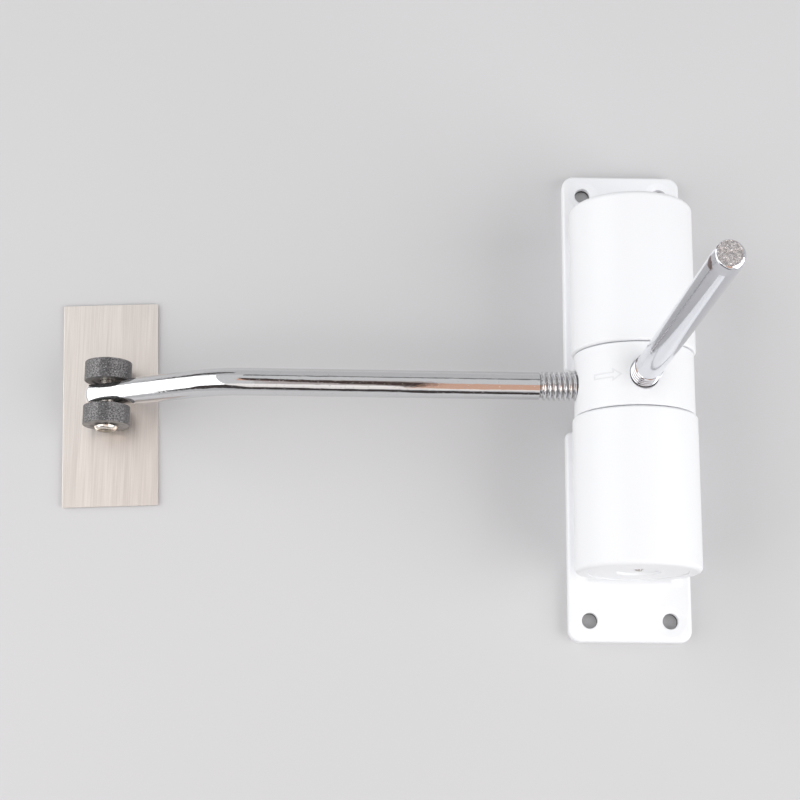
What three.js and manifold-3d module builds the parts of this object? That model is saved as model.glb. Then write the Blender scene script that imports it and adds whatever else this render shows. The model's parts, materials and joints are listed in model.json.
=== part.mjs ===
// A surface-mounted spring door closer, in millimetres, +Z up.
//
// It lies on its back, as it would against a door: the plate's back face is the plane Z = 0, and the
// barrels run along Y. The collar between the barrels is turned closed by two torsion springs. An arm
// with two rollers is screwed into it and bears on a wear plate, and a tension rod is screwed in a
// quarter turn away to wind the springs up by hand.

import * as THREE from "three";
import { mergeVertices } from "three/addons/utils/BufferGeometryUtils.js";
import Module from "manifold-3d";

const wasm = await Module();
wasm.setup();

// Driving dimensions.

const gap = 0.3; // clearance wherever two pieces touch, slide or turn on each other

const collarRadius = 19.6;
const collarHeight = 20.7;
const collarEdge = 0.35;
const journalLength = 8;
const socketCount = 4;
const socketWall = 2.3; // metal left between a socket's floor and the spindle bore
const socketChamfer = 0.4;

const barrelStep = 0.7; // how far the barrels stand proud of the collar
const barrelWall = 4.3;
const barrelLength = 50.5;
const barrelEndRound = 1.7;
const barrelLipRound = 0.9;
const footRadius = 4; // hollow fillet between a barrel's sides and the plate
const footEndRadius = 1.3; // and at its outer end
const footEdge = 0.5; // rounding of the foot's upright edges at the collar
const footCorner = 2; // and of those at its outer end

const plateThickness = 4;
const plateRoom = 0.4; // room between the plate and the collar that turns over it
const plateCorner = 4;
const plateEdge = 1;
const screwLand = 19.8; // plate left beyond each barrel for the screws
const notchDepth = 7;
const notchCorner = 1.6;
const screwHoleRadius = 2.6;
const screwHeadRadius = 4.9;
const screwHeadDepth = 1.3;
const screwSideInset = 7;
const screwEndInset = 7;
const pocketSideWall = 3.3; // wall left beside the relief pockets in the plate's back
const pocketCorner = 3;
const pocketRib = 3;

const bushingWall = 2.1;
const bushingFlange = 1.5; // how far the flange stands out past the barrel's bore
const bushingFlangeThickness = 1.2;

const spindleRadius = 4;
const spindleTipRadius = 1.1;
const spindleTipReach = 0.5; // how far the tip stands out of the plug

const plugLength = 6.5;
const plugRecessRadius = 7;
const plugRecessDepth = 0.9;
const plugSocketDepth = 2.6;
const plugChamfer = 0.5;
const plugPinRadius = 2;
const plugPinDepth = 4.5;
const plugPinInset = 0.6; // how far the pin sits below the plate's back

const wireDiameter = 3.2;
const coilGap = 0.25;
const tangBend = 2.4;
const tangReach = 4.2;
const washerThickness = 1;

const threadRadius = 4.7;
const threadChamfer = 0.8;
const socketFloorGap = 1; // room left beyond a screwed-in end

const armRadius = 4.5;
const armThreadShown = 12;
const armReach = 135.1; // collar axis to the corner where the two straight stretches would meet
const armBendAngle = 27.2; // degrees
const armBendRadius = 35;
const armTail = 43.2; // that corner to the axle
const armTip = 7.8; // axle to the arm's tip
const armFlatHalf = 2.9;
const armFlatLength = 8; // axle to where the flats start to run out
const armFlatRunOut = 3;
const armDomeTurn = 81; // degrees of the quarter circle that domes its end; a small flat is left
const armLean = 0.25; // degrees that it leans down the closer, in the play of its thread

const rodRadius = 4.3;
const rodThreadShown = 8;
const rodReach = 136.6; // collar axis to the rod's free end
const rodTaper = 5.5; // how far back from its free end the rod is drawn down
const rodEndRadius = 4;
const rodChamfer = 0.35;

const rollerRadius = 7.8;
const rollerWidth = 6.55;
const rollerEdge = 0.6;
const rollerSideGap = 1.35; // room between a roller and the arm's flat
const axleRadius = 2.3;
const axleHeadRadius = 3.9;
const axleHeadHeight = 1.5;
const axleHollowRadius = 1.5;
const axleHollowDepth = 4;

const wearWidth = 32;
const wearLength = 70;
const wearThickness = 0.8;
const wearCorner = 0.5;
const wearEdge = 0.12;
const padThickness = 0.4;
const padMargin = 1.2;
const wearShift = -2.3; // how far the wear plate lies off the arm's plane
const wearTurn = 2.4; // degrees, as it was laid down

// Sizes that follow from them.

const barrelRadius = collarRadius + barrelStep;
const boreRadius = barrelRadius - barrelWall;
const axisHeight = plateThickness + plateRoom + collarRadius;
const collarHalf = collarHeight / 2;
const lipY = collarHalf + gap;
const barrelEndY = lipY + barrelLength;
const plateHalfWidth = barrelRadius;
const plateHalfLength = barrelEndY + screwLand;

// The hollow fillet's centre lies this far below the barrel's axis and from it.
const footDrop = axisHeight - plateThickness - footRadius;
const footReach = barrelRadius + footRadius;
const footHalfWidth = Math.sqrt(footReach ** 2 - footDrop ** 2) - footRadius;
const footTurn = Math.acos(-footDrop / footReach);

const journalRadius = boreRadius - gap - bushingWall - gap;
const journalEndY = collarHalf + journalLength;
const spindleBoreRadius = spindleRadius + gap;
const socketRadius = threadRadius + gap;
const socketFloor = spindleBoreRadius + socketWall;
const threadStart = socketFloor + socketFloorGap;

const plugRadius = boreRadius - gap;
const plugFaceY = barrelEndY - gap;
const plugInnerY = plugFaceY - plugLength;
const plugMiddleY = (plugFaceY + plugInnerY) / 2;

const wireRadius = wireDiameter / 2;
const coilRadius = journalRadius - wireRadius - gap;
const washerEndY = journalEndY + gap + washerThickness;

const axleHoleRadius = axleRadius + gap;
const rollerInnerY = armFlatHalf + rollerSideGap;
const rollerOuterY = rollerInnerY + rollerWidth;
const wearTop = padThickness + wearThickness;

// The axle's place in the arm's own frame, and the angle that sets the rollers down on the wear plate.
const bend = THREE.MathUtils.degToRad(armBendAngle);
const axleOut = armReach + armTail * Math.cos(bend);
const axleDrop = armTail * Math.sin(bend);
const axleHeight = wearTop + gap + rollerRadius;
const restAngle =
  Math.atan2(axleDrop, axleOut) - Math.asin((axisHeight - axleHeight) / Math.hypot(axleOut, axleDrop));
const lean = THREE.MathUtils.degToRad(armLean);
const axleX = -(axleOut * Math.cos(lean) * Math.cos(restAngle) + axleDrop * Math.sin(restAngle));

// How finely round shapes are faceted, and how far a cutter runs past what it cuts.
const facets = { barrel: 40, bar: 32, bore: 24, hole: 16 };
const arcSteps = 2;
const over = 1;

// Solids and geometries.

function solidOf(geometry) {
  const bare = new THREE.BufferGeometry();
  bare.setAttribute("position", geometry.getAttribute("position"));
  bare.setIndex(geometry.index);
  const merged = mergeVertices(bare, 1e-4);
  return new wasm.Manifold(
    new wasm.Mesh({
      numProp: 3,
      vertProperties: merged.attributes.position.array,
      triVerts: new Uint32Array(merged.index.array),
    }),
  );
}

function geometryOf(solid) {
  const mesh = solid.getMesh();
  const geometry = new THREE.BufferGeometry();
  geometry.setAttribute("position", new THREE.BufferAttribute(mesh.vertProperties, mesh.numProp));
  geometry.setIndex(new THREE.BufferAttribute(mesh.triVerts, 1));
  geometry.computeVertexNormals();
  return geometry;
}

// A body of revolution about Y. The outline's x is the radius, and it runs from low y to high y.
function revolve(outline, segments = facets.barrel) {
  return new THREE.LatheGeometry(outline.getPoints(arcSteps), segments);
}

// A plain or stepped cylinder about Y: each step is [radius, from y, to y].
function steppedCylinder(steps, segments) {
  const outline = new THREE.Path().moveTo(0, steps[0][1]);
  for (const [radius, from, to] of steps) {
    outline.lineTo(radius, from);
    outline.lineTo(radius, to);
  }
  outline.lineTo(0, steps.at(-1)[2]);
  return revolve(outline, segments);
}

// An outline through square corners, each [x, y, radius], rounded inwards or outwards as it turns.
function roundedOutline(corners) {
  const shape = new THREE.Shape();
  corners.forEach(([x, y, radius], i) => {
    const [beforeX, beforeY] = corners.at(i - 1);
    const [afterX, afterY] = corners[(i + 1) % corners.length];
    const back = new THREE.Vector2(beforeX - x, beforeY - y).normalize();
    const ahead = new THREE.Vector2(afterX - x, afterY - y).normalize();
    const centre = new THREE.Vector2(x, y).addScaledVector(back, radius).addScaledVector(ahead, radius);
    const start = Math.atan2(-ahead.y, -ahead.x);
    const end = Math.atan2(-back.y, -back.x);
    shape.absarc(centre.x, centre.y, radius, start, end, ahead.cross(back) < 0);
  });
  return shape;
}

function rectangleCorners(left, bottom, right, top, radius) {
  return [
    [left, bottom, radius],
    [right, bottom, radius],
    [right, top, radius],
    [left, top, radius],
  ];
}

// Turns a shape made on the upper side (+Y) to the lower side (-Y).
function onSide(geometry, side) {
  return side > 0 ? geometry : geometry.rotateZ(Math.PI);
}

// A wire or bar along flat or wound stretches. Each stretch has its own number of steps, so that
// tight bends are fine and straight stretches are one step.
class StretchCurve extends THREE.Curve {
  constructor(stretches, place) {
    super();
    this.stretches = stretches;
    this.place = place;
    this.steps = stretches.reduce((sum, stretch) => sum + stretch.steps, 0);
  }

  getPoint(t) {
    let station = t * this.steps;
    for (const { curve, steps } of this.stretches) {
      if (station <= steps) {
        return this.place(curve.getPoint(station / steps));
      }
      station -= steps;
    }
    return this.place(this.stretches.at(-1).curve.getPoint(1));
  }

  getUtoTmapping(u) {
    return u;
  }
}

function sweep(curve, radius, sides) {
  const section = new THREE.Shape().absarc(0, 0, radius, 0, 2 * Math.PI, false);
  return new THREE.ExtrudeGeometry(section, {
    steps: curve.steps,
    curveSegments: sides / 2,
    bevelEnabled: false,
    extrudePath: curve,
  });
}

// Housing.

// The plate's outline: as wide as the barrels, with a notch on each side where the arm swings through.
function plateSolid() {
  const inner = plateHalfWidth - notchDepth;
  const right = [
    [plateHalfWidth, -plateHalfLength, plateCorner],
    [plateHalfWidth, -lipY, notchCorner],
    [inner, -lipY, notchCorner],
    [inner, lipY, notchCorner],
    [plateHalfWidth, lipY, notchCorner],
    [plateHalfWidth, plateHalfLength, plateCorner],
  ];
  const left = right.map(([x, y, radius]) => [-x, -y, radius]);
  const plate = new THREE.ExtrudeGeometry(roundedOutline([...right, ...left]), {
    depth: plateThickness,
    curveSegments: 3,
    bevelThickness: plateEdge,
    bevelSize: plateEdge,
    bevelOffset: -plateEdge,
    bevelSegments: 2,
  });
  plate.translate(0, 0, -plateEdge);
  const below = new THREE.BoxGeometry(4 * plateHalfWidth, 4 * plateHalfLength, 2 * plateThickness);
  below.translate(0, 0, -plateThickness);
  return solidOf(plate).subtract(solidOf(below));
}

// The foot that carries a barrel. Its hollow sides start flat on the plate and run up until they
// meet the barrel at a tangent, and its outer end stands up from a small fillet.
function footSolid(side) {
  const levels = 8;
  const middleY = (lipY + barrelEndY) / 2;
  const outline = roundedOutline([
    [-footHalfWidth, lipY, footEdge],
    [footHalfWidth, lipY, footEdge],
    [footHalfWidth, barrelEndY, footCorner],
    [-footHalfWidth, barrelEndY, footCorner],
  ]);
  const foot = new THREE.ExtrudeGeometry(outline, {
    depth: levels,
    steps: levels,
    curveSegments: 2,
    bevelEnabled: false,
  });
  const points = foot.getAttribute("position");
  for (let i = 0; i < points.count; i++) {
    const level = Math.round(points.getZ(i));
    const turn = (footTurn * Math.max(level - 1, 0)) / (levels - 1);
    const height = footRadius * (1 - Math.cos(turn));
    const spread = footRadius * (1 - Math.sin(turn));
    const endLeft = Math.max(footEndRadius - height, 0);
    const endSpread = footEndRadius - Math.sqrt(footEndRadius ** 2 - endLeft ** 2);
    const sunk = level === 0 ? plateThickness / 2 : 0;
    points.setX(i, points.getX(i) + Math.sign(points.getX(i)) * spread);
    points.setY(i, points.getY(i) + (points.getY(i) > middleY ? endSpread : 0));
    points.setZ(i, plateThickness + height - sunk);
  }
  return solidOf(onSide(foot, side));
}

function barrelSolid(side) {
  const outline = new THREE.Path()
    .moveTo(0, lipY)
    .lineTo(barrelRadius - barrelLipRound, lipY)
    .absarc(barrelRadius - barrelLipRound, lipY + barrelLipRound, barrelLipRound, -Math.PI / 2, 0, false)
    .absarc(barrelRadius - barrelEndRound, barrelEndY - barrelEndRound, barrelEndRound, 0, Math.PI / 2, false)
    .lineTo(0, barrelEndY);
  return solidOf(onSide(revolve(outline), side).translate(0, 0, axisHeight));
}

// The bore right through a barrel, with a seat for the bushing's flange at the collar.
function boreCutter(side) {
  const seatRadius = boreRadius + bushingFlange + gap;
  const seatEndY = lipY + bushingFlangeThickness + gap;
  const cutter = steppedCylinder(
    [
      [seatRadius, lipY - over, seatEndY],
      [boreRadius, seatEndY, barrelEndY + over],
    ],
  );
  return solidOf(onSide(cutter, side).translate(0, 0, axisHeight));
}

function screwHoleCutter(x, y) {
  const headStart = plateThickness - screwHeadDepth;
  const curveX = screwHoleRadius + screwHeadDepth / 2;
  const outline = new THREE.Path()
    .moveTo(0, -over)
    .lineTo(screwHoleRadius, -over)
    .lineTo(screwHoleRadius, headStart)
    .quadraticCurveTo(curveX, plateThickness - gap, screwHeadRadius, plateThickness)
    .lineTo(screwHeadRadius, plateThickness + over)
    .lineTo(0, plateThickness + over);
  return solidOf(revolve(outline, facets.bore).rotateX(Math.PI / 2).translate(x, y, 0));
}

function plugPinHoleCutter(side) {
  const hole = steppedCylinder([[plugPinRadius + gap, -over, axisHeight]], facets.hole);
  return solidOf(hole.rotateX(Math.PI / 2).translate(0, side * plugMiddleY, 0));
}

// Two relief pockets behind each barrel, which leave the same wall under the bore as around it.
function pocketCutter(side, half) {
  const halfWidth = footHalfWidth - pocketSideWall;
  const startY = lipY + pocketSideWall;
  const endY = plugMiddleY - plugPinRadius - gap - pocketSideWall;
  const length = (endY - startY - pocketRib) / 2;
  const from = half === 0 ? startY : startY + length + pocketRib;
  const depth = axisHeight - boreRadius - barrelWall;
  const outline = roundedOutline(rectangleCorners(-halfWidth, from, halfWidth, from + length, pocketCorner));
  const pocket = new THREE.ExtrudeGeometry(outline, {
    depth: depth + over,
    curveSegments: 3,
    bevelEnabled: false,
  });
  return solidOf(onSide(pocket.translate(0, 0, -over), side));
}

function housingSolid() {
  let housing = plateSolid();
  for (const side of [1, -1]) {
    housing = housing.add(footSolid(side)).add(barrelSolid(side));
  }
  for (const side of [1, -1]) {
    housing = housing.subtract(boreCutter(side)).subtract(plugPinHoleCutter(side));
    for (const half of [0, 1]) {
      housing = housing.subtract(pocketCutter(side, half));
      const x = (half === 0 ? -1 : 1) * (plateHalfWidth - screwSideInset);
      housing = housing.subtract(screwHoleCutter(x, side * (plateHalfLength - screwEndInset)));
    }
  }
  return housing;
}

// Collar, bushings, spindle, plugs.

// One tapped socket, from the collar's rim in towards the spindle, opening at the given angle.
function socketCutter(angle) {
  const mouth = Math.sqrt(collarRadius ** 2 - socketRadius ** 2);
  const coneLength = collarRadius - mouth + 2 * socketChamfer;
  const outline = new THREE.Path()
    .moveTo(0, socketFloor)
    .lineTo(socketRadius, socketFloor)
    .lineTo(socketRadius, mouth - socketChamfer)
    .lineTo(socketRadius + coneLength, mouth - socketChamfer + coneLength)
    .lineTo(socketRadius + coneLength, collarRadius + over)
    .lineTo(0, collarRadius + over);
  return solidOf(revolve(outline, facets.bore).rotateZ(-Math.PI / 2).rotateY(angle));
}

// The slot in a journal's end that takes the spring's tang.
function tangSlotCutter(side) {
  const inner = coilRadius - wireRadius - gap;
  const outer = journalRadius + over;
  const depth = tangReach + 2 * gap;
  const slot = new THREE.BoxGeometry(outer - inner, depth + over, wireDiameter + 2 * gap);
  slot.translate((inner + outer) / 2, side * (journalEndY + (over - depth) / 2), 0);
  return solidOf(slot);
}

function collarSolid() {
  const outline = new THREE.Path()
    .moveTo(0, -journalEndY)
    .lineTo(journalRadius, -journalEndY)
    .lineTo(journalRadius, -collarHalf)
    .absarc(collarRadius - collarEdge, -collarHalf + collarEdge, collarEdge, -Math.PI / 2, 0, false)
    .absarc(collarRadius - collarEdge, collarHalf - collarEdge, collarEdge, 0, Math.PI / 2, false)
    .lineTo(journalRadius, collarHalf)
    .lineTo(journalRadius, journalEndY)
    .lineTo(0, journalEndY);
  let collar = solidOf(revolve(outline));
  const bore = steppedCylinder([[spindleBoreRadius, -journalEndY - over, journalEndY + over]], facets.bore);
  collar = collar.subtract(solidOf(bore));
  for (let i = 0; i < socketCount; i++) {
    collar = collar.subtract(socketCutter((2 * Math.PI * i) / socketCount));
  }
  for (const side of [1, -1]) {
    collar = collar.subtract(tangSlotCutter(side));
  }
  return collar;
}

function bushingSolid(side) {
  const flangeEndY = lipY + bushingFlangeThickness;
  const blank = steppedCylinder(
    [
      [boreRadius + bushingFlange, lipY, flangeEndY],
      [boreRadius - gap, flangeEndY, journalEndY],
    ],
  );
  const hole = steppedCylinder([[journalRadius + gap, lipY - over, journalEndY + over]]);
  return solidOf(onSide(blank, side)).subtract(solidOf(onSide(hole, side)));
}

function spindleGeometry() {
  const shoulderY = plugInnerY + plugSocketDepth - gap;
  const tipY = plugFaceY - plugRecessDepth + spindleTipReach;
  const tipRound = spindleTipRadius / 2;
  const outline = new THREE.Path()
    .moveTo(0, -tipY)
    .quadraticCurveTo(spindleTipRadius, -tipY, spindleTipRadius, -tipY + tipRound)
    .lineTo(spindleTipRadius, -shoulderY)
    .lineTo(spindleRadius, -shoulderY)
    .lineTo(spindleRadius, shoulderY)
    .lineTo(spindleTipRadius, shoulderY)
    .lineTo(spindleTipRadius, tipY - tipRound)
    .quadraticCurveTo(spindleTipRadius, tipY, 0, tipY);
  return revolve(outline, facets.bore);
}

// The plug that closes a barrel's outer end and holds the spring's fixed tang.
function plugSolid(side) {
  const blank = new THREE.Path()
    .moveTo(0, plugInnerY)
    .lineTo(plugRadius - plugChamfer, plugInnerY)
    .lineTo(plugRadius, plugInnerY + plugChamfer)
    .lineTo(plugRadius, plugFaceY - plugChamfer)
    .lineTo(plugRadius - plugChamfer, plugFaceY)
    .lineTo(0, plugFaceY);
  const centreHole = steppedCylinder(
    [
      [spindleRadius + gap, plugInnerY - over, plugInnerY + plugSocketDepth],
      [spindleTipRadius + gap, plugInnerY + plugSocketDepth, plugFaceY - plugRecessDepth],
      [plugRecessRadius, plugFaceY - plugRecessDepth, plugFaceY + over],
    ],
    facets.bore,
  );
  const tangHoleSteps = [[wireRadius + gap, plugInnerY - over, plugInnerY + tangReach + gap]];
  const tangHole = steppedCylinder(tangHoleSteps, facets.hole);
  const pinHoleSteps = [[plugPinRadius + gap, -plugRadius - over, -plugRadius + plugPinDepth + gap]];
  const pinHole = steppedCylinder(pinHoleSteps, facets.hole);
  return solidOf(onSide(revolve(blank), side))
    .subtract(solidOf(onSide(centreHole, side)))
    .subtract(solidOf(onSide(tangHole, side).rotateY(restAngle).translate(...tangPlace())))
    .subtract(solidOf(pinHole.rotateX(Math.PI / 2).translate(0, side * plugMiddleY, 0)));
}

// Where the springs' tangs lie, seen along the barrels. It follows the collar's own angle at rest.
function tangPlace() {
  return [coilRadius * Math.cos(restAngle), 0, -coilRadius * Math.sin(restAngle)];
}

function plugPinGeometry() {
  const top = axisHeight - plugRadius + plugPinDepth;
  return steppedCylinder([[plugPinRadius, plugPinInset, top]], facets.hole).rotateX(Math.PI / 2);
}

// Springs and their washers.

// Keeps the turning coil off the bushing. The spring's tang passes through its one small hole.
function springWasherSolid(side) {
  const startY = journalEndY + gap;
  const blank = steppedCylinder([[boreRadius - gap, startY, washerEndY]]);
  const centreHole = steppedCylinder([[spindleBoreRadius, startY - over, washerEndY + over]], facets.bore);
  const tangHole = steppedCylinder([[wireRadius + gap, startY - over, washerEndY + over]], facets.hole);
  return solidOf(onSide(blank, side))
    .subtract(solidOf(onSide(centreHole, side)))
    .subtract(solidOf(onSide(tangHole, side).translate(coilRadius, 0, 0)));
}

// A torsion spring with a tang at each end that lies along the barrel. Its path is drawn flat, as on
// an unrolled cylinder, and wound round. The lower spring is the mirror image of the upper one, so
// that both close the door.
function springGeometry(side) {
  const firstY = washerEndY + gap + wireRadius;
  const lastY = plugInnerY - gap - wireRadius;
  const turns = Math.floor((lastY - firstY) / (wireDiameter + coilGap));
  const wound = 2 * Math.PI * coilRadius * turns;
  const lowY = firstY - tangBend;
  const highY = lastY + tangBend;
  const endX = tangBend - wound;
  const flat = (x, y) => new THREE.Vector2(x, y);
  const turnSteps = 12;
  const bendSteps = 4;
  const wireSides = 6;
  const stretches = [
    { steps: 1, curve: new THREE.LineCurve(flat(0, journalEndY - tangReach), flat(0, lowY)) },
    { steps: bendSteps, curve: new THREE.EllipseCurve(-tangBend, lowY, tangBend, tangBend, 0, Math.PI / 2) },
    {
      steps: turnSteps * turns,
      curve: new THREE.LineCurve(flat(-tangBend, firstY), flat(endX, lastY)),
    },
    {
      steps: bendSteps,
      curve: new THREE.EllipseCurve(endX, highY, tangBend, tangBend, -Math.PI / 2, -Math.PI, true),
    },
    { steps: 1, curve: new THREE.LineCurve(flat(-wound, highY), flat(-wound, plugInnerY + tangReach)) },
  ];
  const wind = ({ x, y }) => {
    const angle = x / coilRadius;
    return new THREE.Vector3(coilRadius * Math.cos(angle), side * y, -coilRadius * Math.sin(angle));
  };
  return sweep(new StretchCurve(stretches, wind), wireRadius, wireSides);
}

// Arm, rollers, tension rod.

// A screwed end along Y: chamfered at the socket's floor, plain at the crest of its thread.
function threadedEnd(shown, shankRadius) {
  const end = collarRadius + shown;
  return new THREE.Path()
    .moveTo(0, threadStart)
    .lineTo(threadRadius - threadChamfer, threadStart)
    .lineTo(threadRadius, threadStart + threadChamfer)
    .lineTo(threadRadius, end - threadChamfer / 2)
    .lineTo(shankRadius, end);
}

// How far the arm's side stands from its middle plane, at a distance past the axle towards the tip.
// The flats run out into the round bar in a curve.
function armSideHalf(pastAxle) {
  const intoRunOut = (-pastAxle - armFlatLength) / armFlatRunOut;
  const share = THREE.MathUtils.clamp(intoRunOut, 0, 1);
  return armFlatHalf + (armRadius - armFlatHalf) * share ** 2;
}

// The bent bar: out along -X, then down to the rollers. Its end is domed and pressed flat on both
// sides. Its stretches are drawn in the X-Z plane, each with the steps that its shape needs.
function armBar() {
  const cut = armBendRadius * Math.tan(bend / 2);
  const start = collarRadius + armThreadShown - threadChamfer;
  const bendStart = armReach - cut;
  const flatStart = armTail - armFlatLength;
  const runOutStart = flatStart - armFlatRunOut;
  const tailEnd = armTail + armTip;
  const domeStart = tailEnd - armRadius;
  const bendSteps = 9;
  const runOutSteps = 5;
  const domeSteps = 6;
  const middle = (x, z) => new THREE.Vector2(x, z);
  const tail = (along) => middle(-armReach - along * Math.cos(bend), -along * Math.sin(bend));
  const straight = (from, to, steps = 1) => ({ steps, curve: new THREE.LineCurve(from, to) });
  const bendCurve = new THREE.EllipseCurve(
    -bendStart, -armBendRadius, armBendRadius, armBendRadius, Math.PI / 2, Math.PI / 2 + bend,
  );
  const stretches = [
    straight(middle(-start, 0), middle(-bendStart, 0)),
    { steps: bendSteps, curve: bendCurve },
    straight(tail(cut), tail(runOutStart)),
    straight(tail(runOutStart), tail(flatStart), runOutSteps),
    straight(tail(flatStart), tail(domeStart)),
    straight(tail(domeStart), tail(tailEnd), domeSteps),
  ];
  const place = ({ x, y }) => new THREE.Vector3(x, 0, y);
  const bar = sweep(new StretchCurve(stretches, place), armRadius, facets.bar);

  const points = bar.getAttribute("position");
  const corner = new THREE.Vector3(-armReach, 0, 0);
  const direction = new THREE.Vector3(-Math.cos(bend), 0, -Math.sin(bend));
  const domeTurn = THREE.MathUtils.degToRad(armDomeTurn);
  for (let i = 0; i < points.count; i++) {
    const point = new THREE.Vector3().fromBufferAttribute(points, i);
    const along = point.clone().sub(corner).dot(direction);
    if (along < runOutStart) {
      continue;
    }
    const offset = point.sub(corner).addScaledVector(direction, -along);
    const intoDome = Math.max(along - domeStart, 0);
    const turn = (domeTurn * intoDome) / armRadius;
    offset.multiplyScalar(Math.cos(turn));
    const half = armSideHalf(along - armTail);
    offset.y = THREE.MathUtils.clamp(offset.y, -half, half);
    const station = along - intoDome + armRadius * Math.sin(turn);
    offset.add(corner).addScaledVector(direction, station);
    points.setXYZ(i, offset.x, offset.y, offset.z);
  }
  return bar;
}

function armSolid() {
  const shoulder = threadedEnd(armThreadShown, armRadius).lineTo(0, collarRadius + armThreadShown);
  const axleHole = steppedCylinder([[axleHoleRadius, -armRadius - over, armRadius + over]], facets.bar);
  return solidOf(armBar())
    .add(solidOf(revolve(shoulder, facets.bar).rotateZ(Math.PI / 2)))
    .subtract(solidOf(axleHole.translate(-axleOut, 0, -axleDrop)));
}

function tensionRodGeometry() {
  const outline = threadedEnd(rodThreadShown, rodRadius)
    .lineTo(rodRadius, rodReach - rodTaper)
    .lineTo(rodEndRadius, rodReach - rodChamfer)
    .lineTo(rodEndRadius - rodChamfer, rodReach)
    .lineTo(0, rodReach);
  return revolve(outline, facets.bar).rotateX(Math.PI / 2);
}

function rollerGeometry(side) {
  const bore = axleRadius + gap;
  const edgeRadius = rollerRadius - rollerEdge;
  const outline = new THREE.Path()
    .moveTo(bore, rollerInnerY)
    .lineTo(edgeRadius, rollerInnerY)
    .absarc(edgeRadius, rollerInnerY + rollerEdge, rollerEdge, -Math.PI / 2, 0, false)
    .absarc(edgeRadius, rollerOuterY - rollerEdge, rollerEdge, 0, Math.PI / 2, false)
    .lineTo(bore, rollerOuterY)
    .lineTo(bore, rollerInnerY);
  return onSide(revolve(outline, facets.bar), side);
}

// A tubular rivet: a low domed head on the upper roller, and a rolled rim round its hollow end on the
// lower one.
function axleRivetGeometry() {
  const face = rollerOuterY + gap;
  const outer = face + axleHeadHeight;
  const rim = (axleHeadRadius - axleHollowRadius) / 2;
  const outline = new THREE.Path()
    .moveTo(0, -outer + axleHollowDepth)
    .lineTo(axleHollowRadius, -outer + axleHollowDepth)
    .absellipse(axleHollowRadius + rim, -face, rim, axleHeadHeight, Math.PI, 2 * Math.PI, false)
    .lineTo(axleRadius, -face)
    .lineTo(axleRadius, face)
    .lineTo(axleHeadRadius, face)
    .absellipse(0, face + gap, axleHeadRadius, axleHeadHeight - gap, 0, Math.PI / 2, false);
  return revolve(outline, facets.bore);
}

// Wear plate.

function wearPlateGeometry() {
  const halfWidth = wearWidth / 2;
  const halfLength = wearLength / 2;
  const corners = rectangleCorners(-halfWidth, -halfLength, halfWidth, halfLength, wearCorner);
  return new THREE.ExtrudeGeometry(roundedOutline(corners), {
    depth: wearThickness - 2 * wearEdge,
    curveSegments: 2,
    bevelThickness: wearEdge,
    bevelSize: wearEdge,
    bevelOffset: -wearEdge,
    bevelSegments: 1,
  }).translate(0, 0, padThickness + wearEdge);
}

function adhesivePadGeometry() {
  const pad = new THREE.BoxGeometry(wearWidth - 2 * padMargin, wearLength - 2 * padMargin, padThickness);
  return pad.translate(0, 0, padThickness / 2);
}

// The closer.

const finishes = {
  enamel: { color: 0xf4f5f8, roughness: 0.25, metalness: 0 },
  chrome: { color: 0xc9ccd1, roughness: 0.1, metalness: 1 },
  steel: { color: 0x8e9196, roughness: 0.4, metalness: 1 },
  springSteel: { color: 0x54575c, roughness: 0.45, metalness: 1 },
  nylon: { color: 0xd9d6cc, roughness: 0.6, metalness: 0 },
  rollerGrey: { color: 0x4c4f54, roughness: 0.8, metalness: 0 },
  brushedSteel: { color: 0xcfc4bd, roughness: 0.35, metalness: 1 },
  pad: { color: 0xeceae4, roughness: 0.9, metalness: 0 },
};

function piece(name, shape, finish) {
  const geometry = shape.isBufferGeometry ? shape : geometryOf(shape);
  const mesh = new THREE.Mesh(geometry, new THREE.MeshStandardMaterial(finishes[finish]));
  mesh.name = name;
  return mesh;
}

const closer = new THREE.Group();
closer.add(piece("housing", housingSolid(), "enamel"));

// What lies on the barrels' axis and stays still.
const barrelAxis = new THREE.Group();
barrelAxis.position.z = axisHeight;
closer.add(barrelAxis);
barrelAxis.add(piece("spindle", spindleGeometry(), "steel"));

// What turns with the collar, and the springs, whose tangs follow its angle at rest.
const rotor = new THREE.Group();
rotor.rotation.y = restAngle;
barrelAxis.add(rotor);
rotor.add(piece("collar", collarSolid(), "enamel"));
rotor.add(piece("tension_rod", tensionRodGeometry(), "chrome"));

// The arm, and what turns on its axle.
const arm = new THREE.Group();
arm.rotation.z = lean;
rotor.add(arm);
arm.add(piece("arm", armSolid(), "chrome"));

const axle = new THREE.Group();
axle.position.set(-axleOut, 0, -axleDrop);
arm.add(axle);
axle.add(piece("axle_rivet", axleRivetGeometry(), "steel"));

for (const [prefix, side] of [["upper", 1], ["lower", -1]]) {
  barrelAxis.add(piece(prefix + "_bushing", bushingSolid(side), "nylon"));
  barrelAxis.add(piece(prefix + "_plug", plugSolid(side), "enamel"));
  rotor.add(piece(prefix + "_spring_washer", springWasherSolid(side), "steel"));
  rotor.add(piece(prefix + "_spring", springGeometry(side), "springSteel"));
  axle.add(piece(prefix + "_roller", rollerGeometry(side), "rollerGrey"));
  const pin = piece(prefix + "_plug_pin", plugPinGeometry(), "steel");
  pin.position.y = side * plugMiddleY;
  closer.add(pin);
}

const wear = new THREE.Group();
wear.position.set(axleX, wearShift, 0);
wear.rotation.z = THREE.MathUtils.degToRad(wearTurn);
closer.add(wear);
wear.add(piece("wear_plate", wearPlateGeometry(), "brushedSteel"));
wear.add(piece("adhesive_pad", adhesivePadGeometry(), "pad"));

export default closer;
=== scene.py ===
import json
import math

import bmesh
import bpy
from mathutils import Matrix, Vector, noise


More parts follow.
